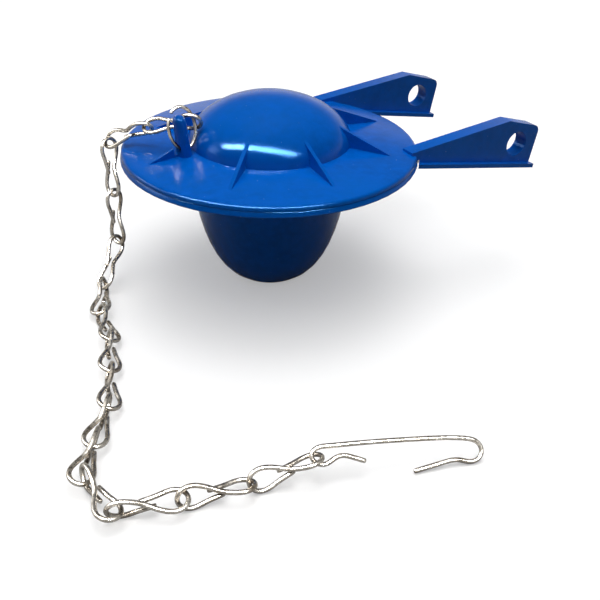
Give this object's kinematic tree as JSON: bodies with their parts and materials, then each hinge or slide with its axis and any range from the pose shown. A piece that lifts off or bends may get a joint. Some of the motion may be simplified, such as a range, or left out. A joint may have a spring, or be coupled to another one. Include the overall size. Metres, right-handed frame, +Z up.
{
  "type": "toilet flapper",
  "caption": "Toilet cistern flapper: flanged hollow float with two pivot ears, an upright lug with a ring, a jack chain and an open wire clip.",
  "frame": {"origin": "middle of the float's flat bottom, on the ground", "axes": "+Z up along the float's axis, +X towards the pivot ears, Y across the ears"},
  "size_m": [0.1447, 0.1282, 0.0494],
  "materials": {
    "blue_plastic": "soft gloss, moulded, matt in the shade",
    "steel_wire": "bright plated wire"
  },
  "bodies": {
    "root": {"upper_shell": "blue_plastic", "lower_shell": "blue_plastic", "ring": "steel_wire", "chain_link_01": "steel_wire", "chain_link_02": "steel_wire", "chain_link_03": "steel_wire", "chain_link_04": "steel_wire", "chain_link_05": "steel_wire", "chain_link_06": "steel_wire", "chain_link_07": "steel_wire", "chain_link_08": "steel_wire", "chain_link_09": "steel_wire", "chain_link_10": "steel_wire", "chain_link_11": "steel_wire", "chain_link_12": "steel_wire", "chain_link_13": "steel_wire", "chain_link_14": "steel_wire", "chain_link_15": "steel_wire", "clip": "steel_wire"}
  },
  "joints": []
}
